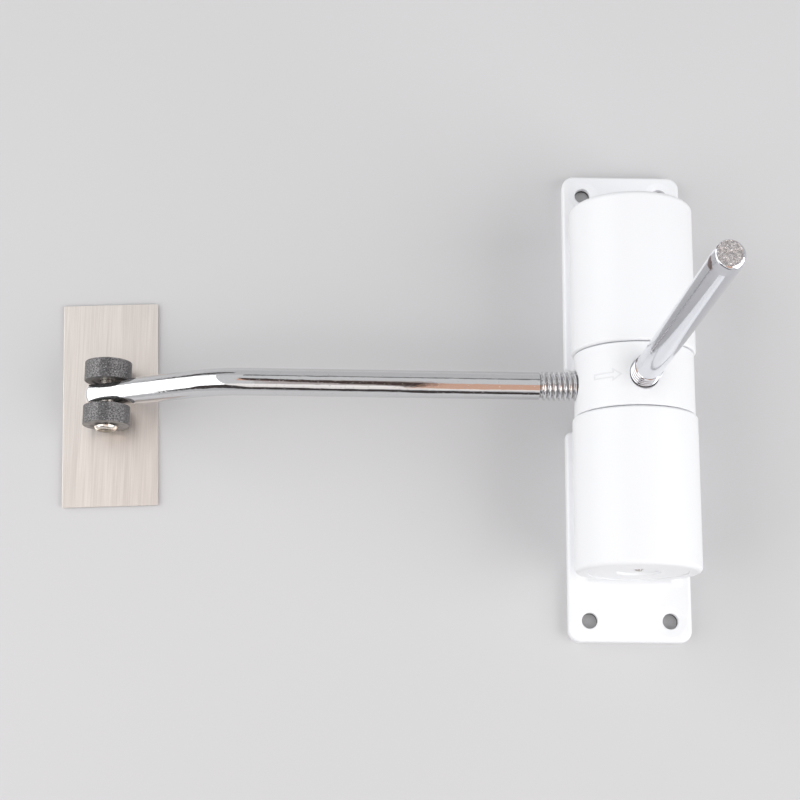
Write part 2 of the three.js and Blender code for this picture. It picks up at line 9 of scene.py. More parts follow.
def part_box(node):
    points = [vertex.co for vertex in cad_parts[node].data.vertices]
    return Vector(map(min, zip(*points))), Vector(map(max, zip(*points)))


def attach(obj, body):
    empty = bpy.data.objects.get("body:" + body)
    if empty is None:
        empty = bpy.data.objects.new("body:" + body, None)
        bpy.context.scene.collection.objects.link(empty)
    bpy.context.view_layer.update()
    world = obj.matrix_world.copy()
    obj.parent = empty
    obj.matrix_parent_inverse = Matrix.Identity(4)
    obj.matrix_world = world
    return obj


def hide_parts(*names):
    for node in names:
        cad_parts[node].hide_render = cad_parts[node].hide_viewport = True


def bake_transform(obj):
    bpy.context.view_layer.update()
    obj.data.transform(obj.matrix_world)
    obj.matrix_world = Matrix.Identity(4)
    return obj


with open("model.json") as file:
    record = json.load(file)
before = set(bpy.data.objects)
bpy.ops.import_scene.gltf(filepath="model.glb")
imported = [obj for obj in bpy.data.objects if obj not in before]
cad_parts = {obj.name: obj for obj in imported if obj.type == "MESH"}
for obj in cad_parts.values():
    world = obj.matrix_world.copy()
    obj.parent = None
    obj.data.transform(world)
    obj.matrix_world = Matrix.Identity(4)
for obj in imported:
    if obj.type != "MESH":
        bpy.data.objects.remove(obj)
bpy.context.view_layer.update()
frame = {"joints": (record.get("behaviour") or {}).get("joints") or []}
mm = 0.001


# where things are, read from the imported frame
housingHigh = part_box("housing")[1]
collarLow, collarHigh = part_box("collar")
spindleLow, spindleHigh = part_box("spindle")
jointAxes = {joint["name"]: Vector(joint["axis"]) for joint in frame["joints"]}

axisHeight = (spindleLow.z + spindleHigh.z) / 2
barrelRadius = housingHigh.z - axisHeight
collarRadius = (collarHigh.x - collarLow.x) / 2
armAxis = jointAxes["arm_thread"]
restAngle = math.atan2(armAxis.z, -armAxis.x)

barrelPlace = Matrix.Translation((0, 0, axisHeight))
rotorPlace = barrelPlace @ Matrix.Rotation(restAngle, 4, "Y")
armPlace = rotorPlace @ Matrix.Rotation(-math.asin(armAxis.y), 4, "Z")  # it leans a little in its thread
halfTurn = Matrix.Rotation(math.pi, 4, "Z")
upright = Matrix.Rotation(math.pi / 2, 4, "X")


# camera
view = {"place": (-0.0860, -0.1403, 0.5735), "yaw": 0.0171, "pitch": -0.2411, "roll": -0.0082, "lens": 78.165}

cameraData = bpy.data.cameras.new("camera")
cameraData.lens = view["lens"]
cameraData.sensor_width = 36
cameraData.clip_end = 20
camera = bpy.data.objects.new("camera", cameraData)
camera.matrix_world = (
    Matrix.Translation(view["place"])
    @ Matrix.Rotation(-view["yaw"], 4, "Y")
    @ Matrix.Rotation(-view["pitch"], 4, "X")
    @ Matrix.Rotation(-view["roll"], 4, "Z")
)
bpy.context.scene.collection.objects.link(camera)
bpy.context.scene.camera = camera
print("camera ready")


class Wire:  # a socket that can be added, multiplied and so on
    def __init__(self, finish, socket):
        self.finish = finish
        self.socket = socket

    def sum(self, operation, first, second):
        return self.finish.node("ShaderNodeMath", {"operation": operation}, {0: first, 1: second})

    def __add__(self, other):
        return self.sum("ADD", self, other)

    def __radd__(self, other):
        return self.sum("ADD", other, self)

    def __sub__(self, other):
        return self.sum("SUBTRACT", self, other)

    def __rsub__(self, other):
        return self.sum("SUBTRACT", other, self)

    def __mul__(self, other):
        return self.sum("MULTIPLY", self, other)

    def __rmul__(self, other):
        return self.sum("MULTIPLY", other, self)


class Finish:  # one material and its nodes
    def __init__(self, name):
        self.material = bpy.data.materials.new(name)
        self.material.use_nodes = True
        self.tree = self.material.node_tree
        self.tree.nodes.clear()

    def node(self, kind, settings=None, values=None, output=0):
        made = self.tree.nodes.new(kind)
        for key, value in (settings or {}).items():
            setattr(made, key, value)
        for key, value in (values or {}).items():
            if isinstance(value, Wire):
                self.tree.links.new(value.socket, made.inputs[key])
            else:
                made.inputs[key].default_value = value
        return Wire(self, made.outputs[output]) if made.outputs else None

    def place(self, scale=(1, 1, 1), turn=(0, 0, 0)):
        point = self.node("ShaderNodeTexCoord", output="Object")
        return self.node("ShaderNodeMapping", {}, {"Vector": point, "Scale": scale, "Rotation": turn})

    def noise(self, vector, scale, detail=2.0, roughness=0.5):
        return self.node("ShaderNodeTexNoise", {}, {
            "Vector": vector, "Scale": scale, "Detail": detail, "Roughness": roughness})

    def spread(self, wire, low, high, toLow=0.0, toHigh=1.0):
        return self.node("ShaderNodeMapRange", {"interpolation_type": "SMOOTHSTEP"}, {
            "Value": wire, "From Min": low, "From Max": high, "To Min": toLow, "To Max": toHigh})

    def mix(self, factor, first, second):
        return self.node("ShaderNodeMix", {"data_type": "RGBA"}, {0: factor, 6: first, 7: second}, output=2)

    def bump(self, height, distance):
        return self.node("ShaderNodeBump", {}, {"Height": height, "Distance": distance, "Strength": 1.0})

    def surface(self, **values):
        shader = self.node("ShaderNodeBsdfPrincipled", {}, {
            key.replace("_", " "): value for key, value in values.items()})
        self.node("ShaderNodeOutputMaterial", {}, {"Surface": shader})
        return self.material


def grey(level, warmth=0.0):
    return (level * (1 + warmth), level, level * (1 - warmth), 1)


def makeEnamel(name, colour, shade):
    finish = Finish(name)
    point = finish.place()
    drift = finish.noise(point, 45, detail=3)
    peel = finish.noise(point, 380, detail=2)
    return finish.surface(
        Base_Color=finish.mix(finish.spread(drift, 0.35, 0.65), colour, shade),
        Roughness=finish.spread(drift, 0.3, 0.7, 0.42, 0.46),
        IOR=1.5,
        Coat_Weight=finish.spread(drift, 0.3, 0.7, 0.25, 0.32),
        Coat_Roughness=0.45,
        Normal=finish.bump(peel, 0.000005),
    )


def makeChrome(name, axisTurn, look):
    # drawn bar: faint long lines along the bar under the plating, a slight wave and fine pits
    finish = Finish(name)
    along = finish.place(scale=(0.16, 1, 1), turn=axisTurn)
    point = finish.place()
    lines = finish.noise(along, look["lineScale"], detail=3, roughness=0.6)
    wave = finish.noise(along, look["waveScale"], detail=2)
    pits = finish.spread(finish.noise(point, 2600, detail=1), 0.70, 0.78)
    haze = finish.noise(point, 160, detail=3)
    colour = finish.mix(pits * 0.55, look["colour"], grey(0.22, 0.03))
    height = lines * 0.35 + wave + pits * -0.5
    roughness = finish.spread(haze, 0.3, 0.7, look["roughness"] * 0.7, look["roughness"] * 1.3) + pits * 0.2
    if "brownSpot" in look:
        # a dark brown spot, with rougher chrome, is painted at one place near the end
        away = finish.node(
            "ShaderNodeVectorMath", {"operation": "DISTANCE"}, {0: point, 1: look["brownSpot"]}, output=1)
        ragged = away + finish.noise(point, 1500, detail=3) * 0.0016
        brownSpot = 1 - finish.spread(ragged, 0.0024, 0.0030)
        colour = finish.mix(brownSpot * 0.9, colour, look["brownSpotColour"])
        roughness = roughness + brownSpot * 0.3
    return finish.surface(
        Base_Color=colour,
        Metallic=1.0,
        Roughness=roughness,
        Normal=finish.bump(height, look["waveDepth"]),
    )


def makeSawnFace():
    look = {"colour": (0.64, 0.61, 0.605, 1), "dark": (0.42, 0.395, 0.39, 1)}
    finish = Finish("chrome_sawn")
    along = finish.place(scale=(1, 0.22, 1), turn=(0, 0, 0.5))
    cuts = finish.noise(along, 2300, detail=4, roughness=0.7)
    lumps = finish.noise(finish.place(), 760, detail=3, roughness=0.55)
    return finish.surface(
        Base_Color=finish.mix(finish.spread(lumps, 0.35, 0.65), look["dark"], look["colour"]),
        Metallic=1.0,
        Roughness=finish.spread(cuts, 0.3, 0.7, 0.10, 0.36),
        Normal=finish.bump(cuts * 0.5 + lumps, 0.0004),
    )


def makeSteel(name, colour, stain, roughness):
    finish = Finish(name)
    point = finish.place()
    cloud = finish.noise(point, 260, detail=4, roughness=0.6)
    grain = finish.noise(finish.place(scale=(1, 0.2, 1)), 2400, detail=2)
    return finish.surface(
        Base_Color=finish.mix(finish.spread(cloud, 0.35, 0.7), colour, stain),
        Metallic=1.0,
        Roughness=finish.spread(grain, 0.3, 0.7, roughness - 0.08, roughness + 0.08),
        Normal=finish.bump(grain, 0.00001),
    )


def makeRollerGrey(middle):
    look = {
        "light": (0.255, 0.247, 0.247, 1), "dark": (0.045, 0.044, 0.047, 1), "fleck": (0.56, 0.56, 0.57, 1),
        "lightBands": 760,
    }
    finish = Finish("roller_grey")
    point = finish.place()
    grain = finish.noise(point, 2100, detail=3, roughness=0.6)
    flecks = finish.spread(finish.noise(point, 2600, detail=2), 0.62, 0.72)
    cloud = finish.noise(point, 240, detail=3)
    body = finish.mix(finish.spread(grain, 0.38, 0.62), look["dark"], look["light"])
    across = finish.node("ShaderNodeSeparateXYZ", {}, {"Vector": point})
    # painted sheen and shade: bands that run with X across the view, not round the tread, darker down each
    # roller's middle and at its edges and lighter to either side
    lightBand = finish.node("ShaderNodeMath", {"operation": "COSINE"}, {0: (across - middle) * look["lightBands"]})
    paintedBandShade = finish.spread(lightBand + cloud * 0.8, 0.2, 1.3, 0.0, 0.6)
    shaded = finish.mix(paintedBandShade, body, look["dark"])
    return finish.surface(
        Base_Color=finish.mix(flecks * 0.8, shaded, look["fleck"]),
        Roughness=finish.spread(grain, 0.3, 0.7, 0.34, 0.55),
        Normal=finish.bump(grain + flecks * 0.4, 0.00009),
    )


def makeRollerSide(name, colour, dark):
    # the sides are as moulded, smoother than the tread
    finish = Finish(name)
    cloud = finish.noise(finish.place(), 420, detail=3)
    return finish.surface(
        Base_Color=finish.mix(finish.spread(cloud, 0.3, 0.7), colour, dark),
        Roughness=finish.spread(cloud, 0.3, 0.7, 0.32, 0.42),
        Normal=finish.bump(cloud, 0.00003),
    )


def makeBrushedSteel():
    look = {"colour": (0.90, 0.845, 0.795, 1), "line": (0.80, 0.745, 0.70, 1)}
    finish = Finish("brushed_steel")
    brushTurn = (0, 0, -math.radians(wearPlate["turn"]))
    streaks = finish.noise(finish.place(scale=(1, 0.012, 1), turn=brushTurn), 2600, detail=3, roughness=0.7)
    broad = finish.noise(finish.place(scale=(1, 0.06, 1), turn=brushTurn), 260, detail=2)
    cloud = finish.noise(finish.place(), 30, detail=2)
    tint = finish.mix(finish.spread(streaks, 0.3, 0.7), look["line"], look["colour"])
    return finish.surface(
        Base_Color=finish.mix(finish.spread(cloud, 0.3, 0.7, 0, 0.35), tint, look["line"]),
        Metallic=1.0,
        Roughness=finish.spread(streaks, 0.3, 0.7, 0.34, 0.44) + finish.spread(broad, 0.3, 0.7, -0.03, 0.03),
        Normal=finish.bump(streaks + broad * 0.5, 0.000012),
    )


def makeNylon():
    look = {"colour": (0.62, 0.60, 0.54, 1), "dark": (0.54, 0.52, 0.46, 1)}
    finish = Finish("nylon")
    cloud = finish.noise(finish.place(), 190, detail=3)
    return finish.surface(
        Base_Color=finish.mix(finish.spread(cloud, 0.3, 0.7), look["colour"], look["dark"]),
        Roughness=finish.spread(cloud, 0.3, 0.7, 0.4, 0.55),
        Subsurface_Weight=0.15,
        Normal=finish.bump(cloud, 0.00002),
    )


def makeFoamTape():
    look = {"colour": (0.80, 0.79, 0.75, 1), "cell": (0.62, 0.61, 0.58, 1)}
    finish = Finish("foam_tape")
    cells = finish.node("ShaderNodeTexVoronoi", {}, {"Vector": finish.place(), "Scale": 3200})
    return finish.surface(
        Base_Color=finish.mix(finish.spread(cells, 0.2, 0.7), look["cell"], look["colour"]),
        Roughness=finish.spread(cells, 0.0, 0.8, 0.75, 0.95),
        Normal=finish.bump(cells, 0.00005),
    )


def linked(name, mesh):
    piece = bpy.data.objects.new(name, mesh)
    bpy.context.scene.collection.objects.link(piece)
    return piece


def pieceOf(name, bm):
    bmesh.ops.recalc_face_normals(bm, faces=bm.faces)
    closed = not any(edge.is_boundary for edge in bm.edges)
    if closed and bm.calc_volume(signed=True) < 0:  # the rivet, with its deep bore, comes out inside out
        bmesh.ops.reverse_faces(bm, faces=bm.faces)
    mesh = bpy.data.meshes.new(name)
    bm.to_mesh(mesh)
    bm.free()
    return linked(name, mesh)


def applied(piece):
    # bakes the modifiers into the mesh
    graph = bpy.context.evaluated_depsgraph_get()
    mesh = bpy.data.meshes.new_from_object(piece.evaluated_get(graph))
    old = piece.data
    piece.modifiers.clear()
    piece.data = mesh
    bpy.data.meshes.remove(old)
    return piece


def combine(piece, other, operation):
    boolean = piece.modifiers.new("combine", "BOOLEAN")
    boolean.operation = operation
    boolean.solver = "EXACT"
    boolean.object = other
    applied(piece)
    mesh = other.data
    bpy.data.objects.remove(other)
    bpy.data.meshes.remove(mesh)
    return piece


def cut(piece, bm):
    return combine(piece, pieceOf("cutter", bm), "DIFFERENCE")


def tidied(piece):
    # takes out the slivers with no area that many cuts leave
    bm = bmesh.new()
    bm.from_mesh(piece.data)
    bmesh.ops.dissolve_degenerate(bm, edges=bm.edges, dist=1e-7)
    bm.to_mesh(piece.data)
    bm.free()


def moved(bm, matrix):
    bmesh.ops.transform(bm, matrix=matrix, verts=bm.verts)
    return bm


def onRing(vert, radius, along):
    close = 1e-6
    return abs(math.hypot(vert.co.x, vert.co.z) - radius) < close and abs(vert.co.y - along) < close


def rounded(bm, geom, offset, segments, affect="EDGES"):
    bmesh.ops.bevel(
        bm, geom=geom, offset=offset * mm, segments=segments, profile=0.5, affect=affect, material=-1)


def turned(corners, steps=96, hollow=False):
    # turns an outline about Y; each corner is radius, distance along Y and rounding, in millimetres
    bm = bmesh.new()
    verts = [bm.verts.new((radius * mm, along * mm, 0)) for radius, along, rounding in corners]
    ends = verts[1:] + verts[:1] if hollow else verts[1:]
    edges = [bm.edges.new(pair) for pair in zip(verts, ends)]
    bmesh.ops.spin(
        bm, geom=verts + edges, cent=(0, 0, 0), axis=(0, 1, 0), angle=math.tau, steps=steps, use_merge=True)
    bmesh.ops.remove_doubles(bm, verts=bm.verts, dist=1e-7)
    bmesh.ops.recalc_face_normals(bm, faces=bm.faces)
    for radius, along, rounding in corners:
        if rounding:
            ring = [edge for edge in bm.edges if all(onRing(v, radius * mm, along * mm) for v in edge.verts)]
            rounded(bm, ring, rounding, 4)
    return bm


def rod(radius, start, end, steps=48):
    # a plain cutter bar along Y, in millimetres
    return turned([(0, start, 0), (radius, start, 0), (radius, end, 0), (0, end, 0)], steps)


def block(low, high):
    bm = bmesh.new()
    bmesh.ops.create_cube(bm, size=1)
    size = Vector(high) - Vector(low)
    bmesh.ops.scale(bm, vec=size, verts=bm.verts)
    bmesh.ops.translate(bm, vec=Vector(low) + size / 2, verts=bm.verts)
    return bm


def joined(bm, *others):
    for other in others:
        mesh = bpy.data.meshes.new("part")
        other.to_mesh(mesh)
        other.free()
        bm.from_mesh(mesh)
        bpy.data.meshes.remove(mesh)
    return bm


def threaded(crest, root, pitch, start, end, steps=64):
    # an outside thread about Y from start to end, in millimetres
    bm = bmesh.new()
    # one turn's outline: share of the pitch, share of the thread's depth
    profile = [
        (0.0, 0), (0.06, 0), (0.18, 0.5), (0.24, 0.74), (0.30, 0.93), (0.38, 1),
        (0.64, 1), (0.72, 0.93), (0.78, 0.74), (0.84, 0.5), (0.96, 0),
    ]
    count = math.ceil((end - start) / pitch) + 2
    verts = [
        bm.verts.new(((root + (crest - root) * depth) * mm, (start + (turn - 1 + share) * pitch) * mm, 0))
        for turn in range(count + 1)
        for share, depth in profile
    ]
    edges = [bm.edges.new(pair) for pair in zip(verts, verts[1:])]
    bmesh.ops.spin(
        bm, geom=verts + edges, cent=(0, 0, 0), axis=(0, 1, 0), angle=math.tau, steps=steps,
        dvec=(0, pitch * mm / steps, 0))
    bmesh.ops.remove_doubles(bm, verts=bm.verts, dist=1e-6)
    for along, side in ((start, -1), (end, 1)):
        bmesh.ops.bisect_plane(
            bm, geom=bm.verts[:] + bm.edges[:] + bm.faces[:], dist=1e-8, plane_co=(0, along * mm, 0),
            plane_no=(0, side, 0), clear_outer=True)
        rim = [edge for edge in bm.edges if edge.is_boundary and all(
            abs(v.co.y - along * mm) < 1e-6 for v in edge.verts)]
        bmesh.ops.edgeloop_fill(bm, edges=rim)
    bmesh.ops.recalc_face_normals(bm, faces=bm.faces)
    return bm


def finished(piece, body, slot, replaced, *finishes, sharp=35):
    mesh = piece.data
    indices = [face.material_index for face in mesh.polygons]
    mesh.materials.clear()
    for finish in finishes:
        mesh.materials.append(finish)
    mesh.polygons.foreach_set("material_index", indices)
    mesh.shade_smooth()
    mesh.set_sharp_from_angle(angle=math.radians(sharp))
    # long faces stay true beside small roundings
    weighted = piece.modifiers.new("weighted", "WEIGHTED_NORMAL")
    weighted.keep_sharp = True
    weighted.weight = 100
    applied(piece).data.name = piece.name
    if body:
        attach(piece, body)
    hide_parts(*replaced)
    return piece


def marked(piece, index, chosen):
    # gives faces another of the piece's finishes, by their middle in millimetres and their normal
    for face in piece.data.polygons:
        if chosen(face.center / mm, face.normal):
            face.material_index = index


class Bar:
    # a round bar drawn out ring by ring: it starts as a circle that faces the way it will go
    def __init__(self, radius, start, steps):
        self.bm = bmesh.new()
        bmesh.ops.create_circle(self.bm, cap_ends=True, radius=radius * mm, segments=steps)
        moved(self.bm, Matrix.Translation(Vector(start) * mm) @ Matrix.Rotation(math.pi / 2, 4, "Y"))
        self.verts = self.bm.verts[:]
        self.edges = self.bm.edges[:]

    def draw(self):
        drawn = bmesh.ops.extrude_edge_only(self.bm, edges=self.edges)["geom"]
        self.verts = [item for item in drawn if isinstance(item, bmesh.types.BMVert)]
        self.edges = [item for item in drawn if isinstance(item, bmesh.types.BMEdge) and all(
            v in self.verts for v in item.verts)]

    def middle(self):
        return sum((v.co for v in self.verts), Vector()) / len(self.verts)

    def forward(self, step, widen=1.0):
        self.draw()
        bmesh.ops.translate(self.bm, vec=Vector(step) * mm, verts=self.verts)
        if widen != 1:
            space = Matrix.Translation(-self.middle())
            bmesh.ops.scale(self.bm, vec=(widen,) * 3, space=space, verts=self.verts)

    def bend(self, centre, axis, angle, steps):
        for _ in range(steps):
            self.draw()
            turn = Matrix.Rotation(angle / steps, 3, axis)
            bmesh.ops.rotate(self.bm, cent=Vector(centre) * mm, matrix=turn, verts=self.verts)

    def close(self):
        bmesh.ops.edgeloop_fill(self.bm, edges=self.edges)
        bmesh.ops.recalc_face_normals(self.bm, faces=self.bm.faces)
        return self.bm


# housing: one white casting, a screw plate with two barrels on hollow-sided feet
housing = {
    "plateTop": 4.0, "halfWidth": 20.3, "halfLength": 80.95, "corner": 4.0, "edge": 1.0, "notch": 7.0,
    "notchCorner": 1.6, "lip": 10.65, "end": 61.15, "lipRound": 0.9, "endRound": 1.7, "footHalf": 14.289,
    "hollow": 4.0, "endHollow": 2.0, "footCorner": 2.0, "bore": 16.0, "boreMouth": 0.15, "seat": 17.8,
    "seatEnd": 12.15, "screw": 2.6, "screwHead": 4.9, "screwDepth": 0.45, "shadeBelow": 1.4, "screwX": 13.3,
    "screwY": 73.95, "pocketHalf": 10.99,
    "pocketStart": 13.95, "pocketLength": 17.52, "pocketRib": 3.0, "pocketDepth": 3.7, "pocketCorner": 3.0,
    "pinY": 57.6, "pinHole": 2.3,
}

enamel = makeEnamel("white_enamel", (0.876, 0.884, 0.903, 1), (0.872, 0.880, 0.899, 1))
# painted shade: a greyer enamel on the arrow's raised outline, so the ridge reads as shaded
ridgeShadeEnamel = makeEnamel("ridge_painted_shade", (0.80, 0.81, 0.83, 1), (0.77, 0.78, 0.80, 1))
# painted shade: the lower part of each screw hole's wall is painted dark grey for the shade down in the hole
screwHoleShade = makeSteel("screw_hole_painted_shade", (0.12, 0.115, 0.115, 1), (0.08, 0.075, 0.075, 1), roughness=0.55)


def extrudeUp(bm, faces, move):
    flat = len(faces) == len(bm.faces)  # the first level keeps its flat face as the bottom
    made = bmesh.ops.extrude_face_region(bm, geom=faces)["geom"]
    if not flat:
        bmesh.ops.delete(bm, geom=faces, context="FACES_ONLY")
    verts = [item for item in made if isinstance(item, bmesh.types.BMVert)]
    bmesh.ops.translate(bm, vec=Vector(move) * mm, verts=verts)
    return [item for item in made if isinstance(item, bmesh.types.BMFace)], verts


def flatOutline(corners):
    # a flat face through corners x, y and rounding, in millimetres
    bm = bmesh.new()
    verts = [bm.verts.new((x * mm, y * mm, 0)) for x, y, rounding in corners]
    bm.faces.new(verts)
    for vert, (x, y, rounding) in zip(verts, corners):
        if rounding:
            rounded(bm, [vert], rounding, 8, affect="VERTICES")
    return bm


def makeSlab():
    wide, long, corner = housing["halfWidth"], housing["halfLength"], housing["corner"]
    inner, lip, soft = wide - housing["notch"], housing["lip"] - 0.02, housing["notchCorner"]
    right = [
        (wide, -long, corner), (wide, -lip, soft), (inner, -lip, soft),
        (inner, lip, soft), (wide, lip, soft), (wide, long, corner),
    ]
    bm = flatOutline(right + [(-x, -y, rounding) for x, y, rounding in right])
    extrudeUp(bm, bm.faces[:], (0, 0, housing["plateTop"]))
    rim = [edge for edge in bm.edges if all(v.co.z > 0.5 * housing["plateTop"] * mm for v in edge.verts)]
    rounded(bm, rim, housing["edge"], 4)
    return bm


def makeFoot():
    # drawn up level by level: its sides leave the plate in a wide hollow and meet the barrel at a
    # tangent, and its end stands up from a small fillet
    half, lip, end = housing["footHalf"], housing["lip"] + 0.02, housing["end"] - 0.02
    hollow, endHollow = housing["hollow"], housing["endHollow"]
    levels = 24
    drop = axisHeight / mm - housing["plateTop"] - hollow
    fullTurn = math.acos(-drop / (barrelRadius / mm + hollow))
    stations = [(hollow, endHollow, 0)]
    for level in range(levels + 1):
        turn = fullTurn * level / levels
        height = hollow * (1 - math.cos(turn))
        intoEnd = min(height / endHollow, 1)
        beyond = endHollow * (1 - math.sqrt(1 - (1 - intoEnd) ** 2))
        stations.append((hollow * (1 - math.sin(turn)), beyond, height + 1))
    stations.append((stations[-1][0] - 1, -1, stations[-1][2] + 1))  # ends inside the barrel
    corner = housing["footCorner"]
    bm = flatOutline([(-half, lip, 0), (half, lip, 0), (half, end, corner), (-half, end, corner)])
    faces, verts = bm.faces[:], bm.verts[:]
    before = (0, 0, 1 - housing["plateTop"])
    for station in stations:
        if station is not stations[0]:
            faces, verts = extrudeUp(bm, faces, (0, 0, 0))
        aside, beyond, rise = (now - then for now, then in zip(station, before))
        outer = [v for v in verts if v.co.y > (lip + 1) * mm]
        bmesh.ops.translate(bm, vec=(0, 0, rise * mm), verts=verts)
        bmesh.ops.translate(bm, vec=(0, beyond * mm, 0), verts=outer)
        bmesh.ops.translate(bm, vec=(aside * mm, 0, 0), verts=[v for v in verts if v.co.x > 0])
        bmesh.ops.translate(bm, vec=(-aside * mm, 0, 0), verts=[v for v in verts if v.co.x < 0])
        before = station
    return bm


def makeBarrel():
    radius = barrelRadius / mm
    lip, end = housing["lip"], housing["end"]
    outline = [
        (0, lip, 0), (radius, lip, housing["lipRound"]), (radius, end, housing["endRound"]), (0, end, 0),
    ]
    return moved(turned(outline, 192), barrelPlace)


def makeBoreCutter():
    lip, end, bore, mouth = housing["lip"], housing["end"], housing["bore"], housing["boreMouth"]
    return moved(turned([
        (0, lip - 1, 0), (housing["seat"], lip - 1, 0), (housing["seat"], housing["seatEnd"], 0),
        (bore, housing["seatEnd"], 0), (bore, end - mouth, 0), (bore + mouth + 1, end + 1, 0),
        (0, end + 1, 0),
    ], 160), barrelPlace)


def makeHousingCutters():
    # for one end: two screw holes with shallow countersinks, two relief pockets and the dowel's hole
    top, hole, head = housing["plateTop"], housing["screw"], housing["screwHead"]
    depth, shadeTop = housing["screwDepth"], housing["shadeBelow"]
    cutters = []
    for side in (1, -1):
        # the hole's wall has a ring at the height where its painted shade stops
        screw = turned([
            (0, -1, 0), (hole, -1, 0), (hole, shadeTop, 0), (hole, top - depth, 0.3),
            (head, top - 0.08, 0.7), (head + 1.6, top + 0.4, 0), (0, top + 0.4, 0),
        ], 64)
        cutters.append(moved(screw, Matrix.Translation(
            Vector((side * housing["screwX"], housing["screwY"], 0)) * mm) @ upright))
    for start in (0, housing["pocketLength"] + housing["pocketRib"]):
        near = housing["pocketStart"] + start
        half, far, corner = housing["pocketHalf"], near + housing["pocketLength"], housing["pocketCorner"]
        pocket = flatOutline([
            (-half, near, corner), (half, near, corner), (half, far, corner), (-half, far, corner)])
        extrudeUp(pocket, pocket.faces[:], (0, 0, housing["pocketDepth"] + 1))
        cutters.append(moved(pocket, Matrix.Translation((0, 0, -mm))))
    dowelHole = rod(housing["pinHole"], -1, axisHeight / mm, 48)
    cutters.append(moved(dowelHole, Matrix.Translation((0, housing["pinY"] * mm, 0)) @ upright))
    return cutters


def makeHousing():
    piece = pieceOf("housing_casting", makeSlab())
    for turn in (Matrix.Identity(4), halfTurn):
        combine(piece, pieceOf("foot", moved(makeFoot(), turn)), "UNION")
        combine(piece, pieceOf("barrel", moved(makeBarrel(), turn)), "UNION")
    for turn in (Matrix.Identity(4), halfTurn):
        cut(piece, moved(makeBoreCutter(), turn))
        cutters = [moved(cutter, turn) for cutter in makeHousingCutters()]
        cut(piece, joined(*cutters))
    screws = [Vector((x * housing["screwX"], y * housing["screwY"])) for x in (1, -1) for y in (1, -1)]
    # the screw holes' walls below that height take the painted shade
    marked(piece, 1, lambda at, normal: at.z < housing["shadeBelow"] and min(
        (at.xy - screw).length for screw in screws) < housing["screw"] + 0.02)
    return finished(piece, "body", "white_enamel", ["housing"], enamel, screwHoleShade, sharp=42)


makeHousing()
print("housing cast")


# collar: turns between the barrels, four tapped sockets and a plain raised arrow
collar = {
    "height": 20.7, "edge": 0.35, "journal": 13.3, "journalEnd": 18.35, "bore": 4.3,
    "socket": 4.92, "ridge": 4.76, "pitch": 1.5, "socketFloor": 6.6, "mouth": 0.2,
    "slot": (9.5, 14.3, 4.8, 3.8),
}
arrow = {
    "angle": 36, "y": -0.2, "length": 10.0, "shaft": 1.9, "head": 4.4, "headLength": 3.2, "raised": 0.12,
    "line": 0.4,
}


def arrowMark():
    # a plain arrow whose outline stands up as a thin ridge
    half, shaft, head = arrow["length"] / 2, arrow["shaft"] / 2, arrow["head"] / 2
    neck = half - arrow["headLength"]
    # its corners stay sharp, because a rounding smaller than the line would cross itself in the inset
    bm = flatOutline([
        (-half, -shaft, 0), (neck, -shaft, 0), (neck, -head, 0), (half, 0, 0),
        (neck, head, 0), (neck, shaft, 0), (-half, shaft, 0),
    ])
    bm.normal_update()  # the inset goes by the face's normal
    middle = bm.faces[:]
    bmesh.ops.inset_region(
        bm, faces=middle, thickness=arrow["line"] * mm, use_boundary=True, use_even_offset=True)
    bmesh.ops.delete(bm, geom=middle, context="FACES")
    for step in range(1, 16):
        across = (-half + step * arrow["length"] / 16) * mm
        bmesh.ops.bisect_plane(
            bm, geom=bm.verts[:] + bm.edges[:] + bm.faces[:], dist=1e-8, plane_co=(across, 0, 0),
            plane_no=(1, 0, 0))
    extrudeUp(bm, bm.faces[:], (0, 0, 1))
    for vert in bm.verts:  # bent round the collar
        angle = vert.co.x / collarRadius - math.radians(arrow["angle"])
        radius = collarRadius + (arrow["raised"] - 1) * mm + vert.co.z
        vert.co = (radius * math.sin(angle), vert.co.y + arrow["y"] * mm, radius * math.cos(angle))
    bmesh.ops.recalc_face_normals(bm, faces=bm.faces)
    return bm


def makeCollar():
    radius = collarRadius / mm
    half, journal, journalEnd = collar["height"] / 2, collar["journal"], collar["journalEnd"]
    piece = pieceOf("collar_casting", turned(
        [
            (collar["bore"], -journalEnd, 0), (journal, -journalEnd, 0.3), (journal, -half, 0),
            (radius, -half, collar["edge"]), (radius, half, collar["edge"]), (journal, half, 0),
            (journal, journalEnd, 0.3), (collar["bore"], journalEnd, 0),
        ],
        192, hollow=True))
    combine(piece, pieceOf("arrow", arrowMark()), "UNION")
    socket, ridge = collar["socket"], collar["ridge"]
    rim = math.sqrt(radius ** 2 - socket ** 2)
    start, mouth = rim - collar["mouth"], radius - rim + collar["mouth"] + 0.4
    for quarter in range(4):
        place = Matrix.Rotation(quarter * math.pi / 2, 4, "Y") @ Matrix.Rotation(math.pi / 2, 4, "Z")
        tapped = threaded(socket, ridge, collar["pitch"], collar["socketFloor"], radius + 1)
        cone = turned([
            (0, rim - 1, 0), (ridge - 0.2, start, 0), (ridge - 0.2 + mouth, start + mouth, 0),
            (0, start + mouth, 0),
        ], 96)
        cut(piece, moved(tapped, place))
        cut(piece, moved(cone, place))
    inner, outer, depth, width = (size * mm for size in collar["slot"])
    for side in (1, -1):
        near, far = sorted((side * (journalEnd * mm - depth), side * (journalEnd + 1) * mm))
        cut(piece, block((inner, near, -width / 2), (outer, far, width / 2)))
    tidied(piece)
    # the arrow's raised faces take the painted shade
    marked(piece, 1, lambda at, normal: math.hypot(at.x, at.z) > radius + 0.02 and abs(at.y) < arrow["head"])
    piece.data.transform(rotorPlace)
    return finished(piece, "collar_body", "white_enamel", ["collar"], enamel, ridgeShadeEnamel, sharp=42)


makeCollar()
print("collar cast")


